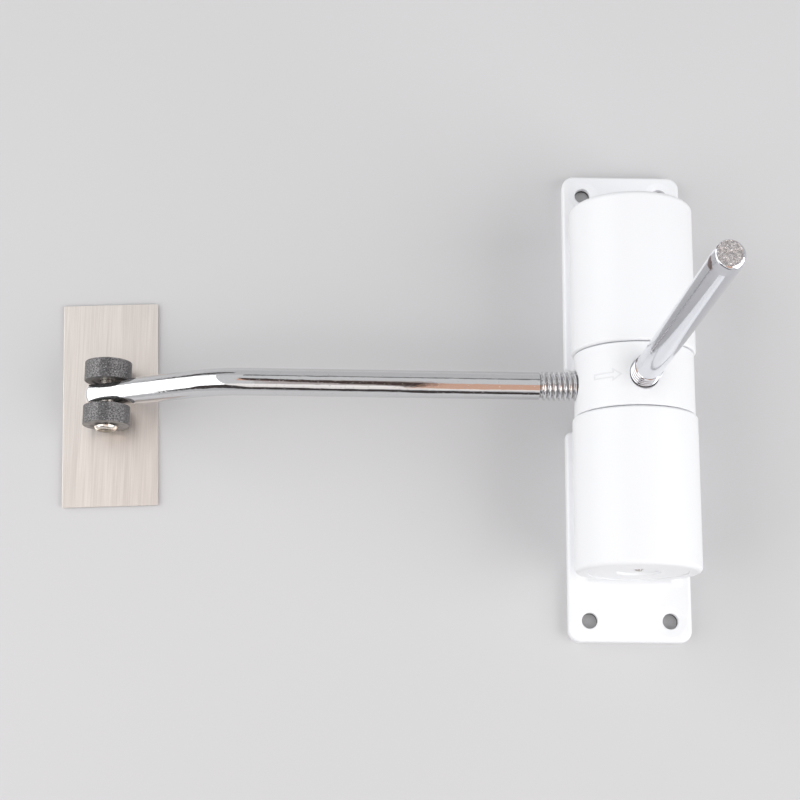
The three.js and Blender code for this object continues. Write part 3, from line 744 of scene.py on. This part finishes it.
# plugs, pins, bushings, washers, spindle and springs
plug = {
    "radius": 15.96, "inner": 54.35, "face": 60.85, "recess": 7.0, "recessDepth": 0.9, "tipHole": 1.4,
    "centreHole": 4.3, "centreDepth": 2.6, "edge": 0.25,
}
spindle = {"radius": 4.0, "shoulder": 56.65, "tipRadius": 1.1, "tip": 60.45, "edge": 0.4}
bushing = {"hole": 13.6, "sleeve": 15.7, "flange": 17.5, "lip": 10.65, "flangeEnd": 11.85, "end": 18.35}
washer = {"hole": 4.3, "radius": 15.7, "start": 18.65, "end": 19.65, "tangHole": 1.9}
pin = {"radius": 2.0, "bottom": 0.6, "top": 12.8, "chamfer": 0.4}
spring = {
    "coil": 11.4, "wire": 1.6, "bend": 2.4, "first": 21.55, "last": 52.45, "tang": 4.2, "turns": 8,
    "perTurn": 48,
}

steel = makeSteel("plain_steel", (0.62, 0.60, 0.58, 1), (0.48, 0.46, 0.44, 1), roughness=0.30)
springSteel = makeSteel("spring_steel", (0.16, 0.16, 0.17, 1), (0.09, 0.085, 0.08, 1), roughness=0.38)
nylon = makeNylon()


def makeTurned(name, corners, place, body, slot, replaced, finish, hollow=False):
    piece = pieceOf(name, moved(turned(corners, hollow=hollow), place))
    return finished(piece, body, slot, [replaced], finish)


def makePlug(name, place, replaced):
    return makeTurned(
        name,
        [
            (plug["tipHole"], plug["inner"] + plug["centreDepth"], 0),
            (plug["centreHole"], plug["inner"] + plug["centreDepth"], 0),
            (plug["centreHole"], plug["inner"], 0.2),
            (plug["radius"], plug["inner"], plug["edge"]),
            (plug["radius"], plug["face"], plug["edge"]),
            (plug["recess"], plug["face"], 0.35),
            (plug["recess"], plug["face"] - plug["recessDepth"], 0.3),
            (plug["tipHole"], plug["face"] - plug["recessDepth"], 0.15),
        ],
        place, "body", "white_enamel", replaced, enamel, hollow=True)


def springLine(side):
    # the wire's middle, as flat distance round the coil and distance along it, wound up
    bend, tang = spring["bend"], spring["tang"]
    low, high = spring["first"] - bend, spring["last"] + bend
    wound = math.tau * spring["coil"] * spring["turns"]
    corner = [step * math.pi / 24 for step in range(13)]
    flat = [(0, bushing["end"] - tang)]
    flat += [(bend * (math.cos(turn) - 1), low + bend * math.sin(turn)) for turn in corner]
    count = spring["turns"] * spring["perTurn"]
    for step in range(1, count):
        share = step / count
        along = spring["first"] + (spring["last"] - spring["first"]) * share
        flat.append((-bend + (2 * bend - wound) * share, along))
    flat += [(bend * (1 - math.sin(turn)) - wound, high - bend * math.cos(turn)) for turn in corner]
    flat.append((-wound, plug["inner"] + tang))
    coil = spring["coil"]
    return [
        Vector((coil * math.cos(x / coil), side * y, -coil * math.sin(x / coil))) * mm for x, y in flat
    ]


def makeSpring(name, side, replaced):
    data = bpy.data.curves.new(name, "CURVE")
    data.dimensions = "3D"
    data.bevel_depth = spring["wire"] * mm
    data.bevel_resolution = 4
    data.use_fill_caps = True
    line = springLine(side)
    spline = data.splines.new("POLY")
    spline.points.add(len(line) - 1)
    for point, place in zip(spline.points, line):
        point.co = (*(rotorPlace @ place), 1)
    drawn = linked(name + "_line", data)
    graph = bpy.context.evaluated_depsgraph_get()
    bm = bmesh.new()
    bm.from_mesh(bpy.data.meshes.new_from_object(drawn.evaluated_get(graph)))
    bmesh.ops.remove_doubles(bm, verts=bm.verts, dist=1e-7)
    bpy.data.objects.remove(drawn)
    piece = finished(pieceOf(name, bm), None, "spring_steel", [replaced], springSteel)
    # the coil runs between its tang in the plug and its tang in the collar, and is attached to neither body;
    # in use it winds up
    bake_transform(piece)


for name, side, turn in (("upper", 1, Matrix.Identity(4)), ("lower", -1, halfTurn)):
    makePlug(name + "_end_plug", barrelPlace @ turn, name + "_plug")
    makeTurned(
        name + "_flanged_bushing",
        [
            (bushing["hole"], bushing["lip"], 0),
            (bushing["flange"], bushing["lip"], 0.25),
            (bushing["flange"], bushing["flangeEnd"], 0),
            (bushing["sleeve"], bushing["flangeEnd"], 0),
            (bushing["sleeve"], bushing["end"], 0.25),
            (bushing["hole"], bushing["end"], 0),
        ],
        barrelPlace @ turn, "body", "nylon", name + "_bushing", nylon, hollow=True)
    disc = pieceOf(name + "_spacer_washer", turned(
        [
            (washer["hole"], washer["start"], 0.2), (washer["radius"], washer["start"], 0.2),
            (washer["radius"], washer["end"], 0.2), (washer["hole"], washer["end"], 0.2),
        ],
        hollow=True))
    cut(disc, moved(rod(washer["tangHole"], washer["start"] - 1, washer["end"] + 1, 32),
                    Matrix.Translation((spring["coil"] * mm, 0, 0))))
    disc.data.transform(rotorPlace @ (turn if side > 0 else Matrix.Rotation(math.pi, 4, "X")))
    finished(disc, "collar_body", "plain_steel", [name + "_spring_washer"], steel)
    makeSpring(name + "_torsion_spring", side, name + "_spring")
    pinMiddle = Vector((0, side * (plug["inner"] + plug["face"]) / 2 * mm, 0))
    makeTurned(
        name + "_dowel",
        [
            (0, pin["bottom"], 0), (pin["radius"], pin["bottom"], pin["chamfer"]),
            (pin["radius"], pin["top"], pin["chamfer"]), (0, pin["top"], 0),
        ],
        Matrix.Translation(pinMiddle) @ upright, "body", "plain_steel", name + "_plug_pin", steel)

makeTurned(
    "spindle_bar",
    [
        (0, -spindle["tip"], 0),
        (spindle["tipRadius"], -spindle["tip"], spindle["edge"]),
        (spindle["tipRadius"], -spindle["shoulder"], 0),
        (spindle["radius"], -spindle["shoulder"], spindle["edge"]),
        (spindle["radius"], spindle["shoulder"], spindle["edge"]),
        (spindle["tipRadius"], spindle["shoulder"], 0),
        (spindle["tipRadius"], spindle["tip"], spindle["edge"]),
        (0, spindle["tip"], 0),
    ],
    barrelPlace, "body", "plain_steel", "spindle", steel)
print("barrels filled")


# arm: bent chrome bar, threaded at the collar, pressed flat at the rollers
arm = {
    "radius": 4.5, "thread": 4.7, "root": 3.85, "dark": 4.05, "pitch": 1.7, "threadStart": 7.6,
    "threadShown": 12.0, "reach": 135.1, "angle": 27.2, "bendRadius": 35, "tail": 43.2, "tip": 7.5,
    "dome": 2.6, "flatHalf": 2.9, "flatLength": 8.0, "runOut": 3.6, "axleHole": 2.6, "sides": 128,
}

# painted shade with a warm painted reflection: the rod's thread below its dark radius is painted dark brown
# between the crests
rodThreadShade = makeSteel("rod_thread_painted_shade", (0.26, 0.19, 0.16, 1), (0.16, 0.11, 0.09, 1), roughness=0.35)
# painted shade: the arm's thread below its dark radius is painted darker between the crests
armThreadShade = makeSteel("arm_thread_painted_shade", (0.52, 0.50, 0.49, 1), (0.34, 0.32, 0.31, 1), roughness=0.30)
armTurn = math.radians(arm["angle"])
tailPlace = Matrix.Translation((-arm["reach"] * mm, 0, 0)) @ Matrix.Rotation(-armTurn, 4, "Y")
axleInTail = Matrix.Translation((-arm["tail"] * mm, 0, 0))
axlePlace = armPlace @ tailPlace @ axleInTail @ Matrix.Rotation(armTurn, 4, "Y")


def makeArm():
    angle = armTurn
    ahead = Vector((-math.cos(angle), 0, -math.sin(angle)))
    trim = arm["bendRadius"] * math.tan(angle / 2)
    threadEnd = collarRadius / mm + arm["threadShown"]
    bar = Bar(arm["root"], (-(threadEnd - 1.2), 0, 0), arm["sides"])
    bar.forward((-0.5, 0, 0))
    bar.forward((-0.6, 0, 0), arm["radius"] / arm["root"])
    bar.forward((-(arm["reach"] - trim - threadEnd - 0.1), 0, 0))
    bar.bend((-(arm["reach"] - trim), 0, -arm["bendRadius"]), "Y", -angle, 28)
    bar.forward(ahead * (arm["tail"] + arm["tip"] - arm["dome"] - trim))
    for step in range(1, 13):  # the domed end
        before, after = ((step - 1) * math.pi / 25, step * math.pi / 25)
        rise = arm["dome"] * (math.sin(after) - math.sin(before))
        bar.forward(ahead * rise, math.cos(after) / math.cos(before))
    piece = pieceOf("bent_arm", bar.close())
    thread = threaded(arm["thread"], arm["root"], arm["pitch"], arm["threadStart"], threadEnd - 1.0)
    combine(piece, pieceOf("thread", moved(thread, Matrix.Rotation(math.pi / 2, 4, "Z"))), "UNION")

    along = arm["tail"] - arm["flatLength"] - arm["runOut"]
    for side in (1, -1):
        near, far = sorted((side * arm["flatHalf"], side * 12))
        low = Vector((-(arm["tail"] + 14), near, -12)) * mm
        high = Vector((-along, far, 12)) * mm
        cutter = block(low, high)
        flat = side * arm["flatHalf"] * mm
        corner = [edge for edge in cutter.edges if all(
            abs(v.co.x + along * mm) < 1e-6 and abs(v.co.y - flat) < 1e-6 for v in edge.verts)]
        rounded(cutter, corner, arm["runOut"], 16)
        cut(piece, moved(cutter, tailPlace))
    cut(piece, moved(rod(arm["axleHole"], -8, 8, 64), tailPlace @ axleInTail))
    # the thread's roots and low flanks take the painted shade
    marked(piece, 1, lambda at, normal: -at.x < threadEnd - 1 and math.hypot(at.y, at.z) < arm["dark"])
    piece.data.transform(armPlace)
    chrome = makeChrome("chrome", (0, 0, 0), {
        "colour": (0.72, 0.72, 0.73, 1), "roughness": 0.06, "lineScale": 1500, "waveScale": 480,
        "waveDepth": 0.00004,
    })
    return finished(piece, "arm_body", "chrome", ["arm"], chrome, armThreadShade, sharp=32)


makeArm()
print("arm bent")


# tension rod: winds the springs up by hand
tensionRod = {
    "radius": 4.3, "thread": 4.7, "root": 3.85, "dark": 4.45, "pitch": 2.0, "threadStart": 7.6,
    "threadShown": 8.0, "lumpRings": 7, "lumpWidth": 0.45,
    "reach": 136.6, "taper": 5.5, "end": 4.0, "rim": 0.8, "aside": (-0.35, -0.3), "roughness": 0.11,
    # where the dark brown spot is painted, in millimetres
    "brownSpot": (-4.2, 130.6, 0.4),
}


def makeTensionRod():
    shankStart = collarRadius / mm + tensionRod["threadShown"]
    radius, root, reach, taper = (tensionRod[key] for key in ("radius", "root", "reach", "taper"))
    bm = turned([
        (0, shankStart - 1.2, 0), (root, shankStart - 1.2, 0), (root, shankStart - 0.7, 0),
        (radius, shankStart - 0.1, 0), (radius, reach - taper, 0), (radius - 0.04, reach - taper + 0.4, 0),
        (tensionRod["end"], reach, tensionRod["rim"]), (0, reach, 0),
    ], 128)
    # the sawn end is uneven: rings of fine lumps inside its rolled rim
    face = [item for item in bm.faces if item.calc_center_median().y > (reach - 0.01) * mm]
    for _ in range(tensionRod["lumpRings"]):
        bmesh.ops.inset_region(
            bm, faces=face, thickness=tensionRod["lumpWidth"] * mm, depth=0, use_even_offset=True)
    for vert in bm.verts:
        intoRim = max(0, 1 - (reach * mm - vert.co.y) / (tensionRod["rim"] * mm))
        if intoRim > 0.99:
            lump = noise.noise(vert.co * 1400) + 0.6 * noise.noise(vert.co * 3100)
            vert.co.y += tensionRod["roughness"] * mm * (lump - 1)
        vert.co.x += tensionRod["aside"][0] * mm * intoRim  # cut a little out of true
        vert.co.z += tensionRod["aside"][1] * mm * intoRim
    piece = pieceOf("winding_rod", bm)
    thread = threaded(
        tensionRod["thread"], root, tensionRod["pitch"], tensionRod["threadStart"], shankStart - 0.7)
    combine(piece, pieceOf("thread", thread), "UNION")
    marked(piece, 1, lambda at, normal: at.y > reach - 0.7 and normal.y > 0.94)
    # the thread's roots and low flanks take the painted shade
    marked(piece, 2, lambda at, normal: at.y < shankStart - 1 and math.hypot(at.x, at.z) < tensionRod["dark"])
    place = rotorPlace @ upright
    piece.data.transform(place)
    chrome = makeChrome("chrome_rod", (0, math.pi / 2, 0), {
        "colour": (0.70, 0.712, 0.748, 1), "roughness": 0.07, "lineScale": 1500, "waveScale": 300,
        "waveDepth": 0.00003, "brownSpot": place @ (Vector(tensionRod["brownSpot"]) * mm),
        "brownSpotColour": (0.14, 0.07, 0.06, 1),
    })
    return finished(piece, "rod_body", "chrome", ["tension_rod"], chrome, makeSawnFace(), rodThreadShade, sharp=32)


makeTensionRod()
print("rod turned")


# rollers and the rivet that carries them
roller = {
    "radius": 7.8, "inner": 4.25, "outer": 10.8, "bore": 2.6, "edge": 0.35, "dish": 0.25,
    "dishInner": 0.62, "dishOuter": 0.70,  # shares of the radius
}
rivet = {"shank": 2.3, "head": 3.9, "face": 11.1, "height": 1.5, "hollow": 1.9, "hollowDepth": 4.0}

# the tread's painted sheen and shade bands are centred on the axle
rollerGrey = makeRollerGrey(axlePlace.translation.x)
rollerSide = makeRollerSide("roller_side", (0.185, 0.176, 0.170, 1), (0.135, 0.129, 0.126, 1))
# painted shade: each roller's inner face, next to the arm, is painted near black for the shade between roller
# and arm
rollerInnerShade = makeRollerSide("roller_inner_painted_shade", (0.05, 0.048, 0.047, 1), (0.03, 0.029, 0.029, 1))
rivetSteel = makeSteel("rivet_steel", (0.86, 0.81, 0.74, 1), (0.82, 0.77, 0.70, 1), roughness=0.25)
# painted shade: the rivet's hollow, the inner part of its flare and its shank on one side are painted darker
rivetShade = makeSteel("rivet_painted_shade", (0.40, 0.36, 0.30, 1), (0.26, 0.23, 0.19, 1), roughness=0.5)

for name, turn in (("upper", Matrix.Identity(4)), ("lower", halfTurn)):
    piece = pieceOf(name + "_door_roller", turned([
        (roller["bore"], roller["inner"] + roller["dish"], 0.15),
        (roller["radius"] * roller["dishInner"], roller["inner"] + roller["dish"], 0.1),
        (roller["radius"] * roller["dishOuter"], roller["inner"], 0.2),
        (roller["radius"], roller["inner"], roller["edge"]),
        (roller["radius"], roller["outer"], roller["edge"]),
        (roller["radius"] * roller["dishOuter"], roller["outer"], 0.2),
        (roller["radius"] * roller["dishInner"], roller["outer"] - roller["dish"], 0.1),
        (roller["bore"], roller["outer"] - roller["dish"], 0.15),
    ], hollow=True))
    marked(piece, 1, lambda at, normal: math.hypot(at.x, at.z) < roller["radius"] - roller["edge"] * 0.5)
    # the inner face takes the painted shade
    marked(piece, 2, lambda at, normal: at.y < roller["inner"] + roller["dish"] + 0.05 and math.hypot(
        at.x, at.z) < roller["radius"] - roller["edge"] * 0.5)
    piece.data.transform(axlePlace @ turn)
    finished(
        piece, name + "_roller_body", "roller_grey", [name + "_roller"], rollerGrey, rollerSide, rollerInnerShade)


def makeRivet():
    face, height = rivet["face"], rivet["height"]
    end = face + height
    piece = pieceOf("hollow_rivet", turned([
        (0, -end + rivet["hollowDepth"], 0), (rivet["hollow"], -end + rivet["hollowDepth"], 0),
        (rivet["hollow"], -end, 0.6), (rivet["head"] - 0.6, -end + 0.05, 0.9), (rivet["head"], -face, 0.2),
        (rivet["shank"], -face, 0), (rivet["shank"], face, 0), (rivet["head"], face, 0.2),
        (rivet["head"] - 0.5, face + 0.9, 0.5), (1.4, end, 0), (0, end, 0),
    ]))
    # the hollow, the inner part of the flare and the shank take the painted shade
    marked(piece, 1, lambda at, normal: at.y < -face and math.hypot(at.x, at.z) < rivet["hollow"] + 0.8)
    marked(piece, 1, lambda at, normal: -face < at.y < 0 and math.hypot(at.x, at.z) < rivet["shank"] + 0.1)
    piece.data.transform(axlePlace)
    return finished(piece, "arm_body", "plain_steel", ["axle_rivet"], rivetSteel, rivetShade)


makeRivet()
print("rollers riveted")


# wear plate and the tape behind it
wearPlate = {
    "width": 32.0, "length": 70.0, "top": 1.2, "bottom": 0.4, "corner": 0.5, "edge": 0.14, "turn": 2.4,
}
tape = {"margin": 1.2, "round": 0.12}


def standing(edge):
    return abs(edge.verts[0].co.z - edge.verts[1].co.z) > 1e-6


def makeWearPiece(name, margin, bottom, top, corner, edge, slot, replaced, finish):
    low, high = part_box("wear_plate")
    middle = (low + high) / 2
    half = Vector((wearPlate["width"] / 2 - margin, wearPlate["length"] / 2 - margin)) * mm
    bm = block((-half.x, -half.y, bottom * mm), (half.x, half.y, top * mm))
    rounded(bm, [e for e in bm.edges if standing(e)], corner, 5)
    rounded(bm, [e for e in bm.edges if not standing(e)], edge, 2)
    turn = Matrix.Rotation(math.radians(wearPlate["turn"]), 4, "Z")
    moved(bm, Matrix.Translation((middle.x, middle.y, 0)) @ turn)
    return finished(pieceOf(name, bm), "body", slot, [replaced], finish)


makeWearPiece(
    "brushed_wear_plate", 0, wearPlate["bottom"], wearPlate["top"], wearPlate["corner"], wearPlate["edge"],
    "brushed_steel", "wear_plate", makeBrushedSteel())
makeWearPiece(
    "backing_tape", tape["margin"], 0, wearPlate["bottom"], 0.8, tape["round"],
    "foam_tape", "adhesive_pad", makeFoamTape())
print("wear plate laid")


# floor and light
studio = {
    "floor": (0.636, 0.630, 0.638, 1), "world": (0.43, 0.43, 0.435, 1), "reflected": (0.60, 0.60, 0.61, 1),
    "left": 11.3, "right": 11.4, "front": 0.85, "ceiling": 1.2,
    "dark": (0.075, 0.055, 0.05, 1), "gap": (0.07, 0.06, 0.06, 1), "brown": (0.52, 0.46, 0.45, 1),
    "orange": (0.76, 0.47, 0.35, 1), "seam": (0.22, 0.22, 0.22, 1), "floorHalf": 1.0, "floorDrop": 0.02,
    "wallHeight": 0.61, "darkHeight": 0.6,
}


def makeFloor():
    bm = bmesh.new()
    # it ends about where the lamps stand
    bmesh.ops.create_grid(bm, x_segments=1, y_segments=1, size=studio["floorHalf"])
    bmesh.ops.translate(bm, vec=(0, 0, -studio["floorDrop"] * mm), verts=bm.verts)
    finish = Finish("paper_floor")
    drift = finish.noise(finish.place(), 3, detail=2)
    material = finish.surface(
        Base_Color=finish.mix(finish.spread(drift, 0.3, 0.7, 0, 0.3), studio["floor"], grey(0.56)),
        Roughness=0.85,
    )
    floor = pieceOf("floor", bm)
    floor.data.materials.append(material)


def softbox(name, place, size, power, colour=(1, 1, 1), target=(-0.08, 0, 0.02)):
    lamp = bpy.data.lights.new(name, "AREA")
    lamp.shape = "RECTANGLE"
    lamp.size, lamp.size_y = size
    lamp.energy = power
    lamp.color = colour
    holder = bpy.data.objects.new(name, lamp)
    towards = Vector(target) - Vector(place)
    holder.matrix_world = Matrix.Translation(place) @ towards.to_track_quat("-Z", "Y").to_matrix().to_4x4()
    holder.visible_camera = False
    bpy.context.scene.collection.objects.link(holder)


def mirrorCard(name, rows, colour):
    # a card that only shows in polished metal, between two rows of corners in metres
    bm = bmesh.new()
    first, second = ([bm.verts.new(corner) for corner in row] for row in rows)
    for near, ahead, aheadAcross, across in zip(first, first[1:], second[1:], second):
        bm.faces.new((near, ahead, aheadAcross, across))
    finish = Finish(name)
    glow = finish.node("ShaderNodeEmission", {}, {"Color": colour, "Strength": 1.0})
    finish.node("ShaderNodeOutputMaterial", {}, {"Surface": glow})
    card = pieceOf(name, bm)
    card.data.materials.append(finish.material)
    for ray in ("camera", "diffuse", "transmission", "volume_scatter", "shadow"):
        setattr(card, "visible_" + ray, False)


def mirrorStrip(name, line, colour):
    # a narrow card along a line of points, each with the card's width there, turned to face the object
    points = [Vector(point[:3]) for point in line]
    rows = ([], [])
    for index, point in enumerate(points):
        ahead = points[min(index + 1, len(points) - 1)] - points[max(index - 1, 0)]
        aside = ahead.cross(point).normalized() * line[index][3] / 2
        rows[0].append(point - aside)
        rows[1].append(point + aside)
    mirrorCard(name, rows, colour)


makeFloor()
softbox("left_softbox", (-1.03, 0.12, 0.62), (1.9, 1.15), studio["left"], target=(-0.08, 0.28, 0.02))
softbox("right_softbox", (0.95, -0.40, 0.70), (1.2, 1.0), studio["right"])
softbox("front_softbox", (-0.05, -0.80, 0.80), (1.1, 0.6), studio["front"], colour=(1.0, 0.88, 0.80))
softbox("ceiling", (-0.20, -0.05, 1.10), (1.4, 2.3), studio["ceiling"], target=(-0.20, -0.05, 0))
# what stands round the camera: a dark shape over it, warm walls beyond and dark gaps between the lamps
darkShape = [  # across, far edge and near edge, in metres
    (-0.20, 0.175, 0.130), (-0.126, 0.143, -0.025), (-0.112, 0.110, -0.080), (-0.092, 0.075, -0.140),
    (-0.072, 0.045, -0.195), (-0.052, 0.025, -0.215), (-0.031, 0.025, -0.330), (-0.011, -0.035, -0.560),
]
darkRows = ([(point[0], point[edge], studio["darkHeight"]) for point in darkShape] for edge in (1, 2))
mirrorCard("dark_shape", darkRows, studio["dark"])


def wall(name, low, high, colour):
    # a level card over the camera, from its low corner to its high one
    rows = ([(x, y, studio["wallHeight"]) for x in (low[0], high[0])] for y in (high[1], low[1]))
    mirrorCard(name, rows, colour)


wall("brown_wall", (-0.126, -0.33), (-0.01, 0.1), studio["brown"])
wall("orange_wall", (-0.011, -0.68), (0.25, -0.06), studio["orange"])
wall("orange_patch", (-0.22, -0.05), (-0.126, 0.135), studio["orange"])
wall("far_seam", (-0.17, 0.44), (0.12, 0.60), studio["seam"])
mirrorStrip("near_gap", [
    (0.121, -0.881, 0.118, 0.24), (-0.198, -0.819, 0.390, 0.26), (-0.461, -0.671, 0.527, 0.40),
    (-0.679, -0.620, 0.386, 0.46), (-0.790, -0.580, 0.270, 0.20),
], studio["gap"])
mirrorStrip("low_gap", [(-0.05, -0.45, 0.065, 0.12), (0.10, -0.45, 0.065, 0.12)], studio["gap"])
mirrorStrip("far_gap", [
    (-0.28, 0.80, 0.43, 0.12), (-0.433, 0.779, 0.357, 0.22), (-0.713, 0.696, 0.114, 0.20)], studio["gap"])

world = bpy.data.worlds.new("studio")
world.use_nodes = True
sky = world.node_tree
rays = sky.nodes.new("ShaderNodeLightPath")
blend = sky.nodes.new("ShaderNodeMix")
blend.data_type = "RGBA"
blend.inputs[6].default_value = studio["world"]
blend.inputs[7].default_value = studio["reflected"]
seen = sky.nodes.new("ShaderNodeMath")
seen.operation = "MAXIMUM"
sky.links.new(rays.outputs["Is Camera Ray"], seen.inputs[0])
sky.links.new(rays.outputs["Is Glossy Ray"], seen.inputs[1])
sky.links.new(seen.outputs[0], blend.inputs[0])
sky.links.new(blend.outputs[2], sky.nodes["Background"].inputs["Color"])
bpy.context.scene.world = world
bpy.context.scene.view_settings.view_transform = "Standard"
print("studio lit")
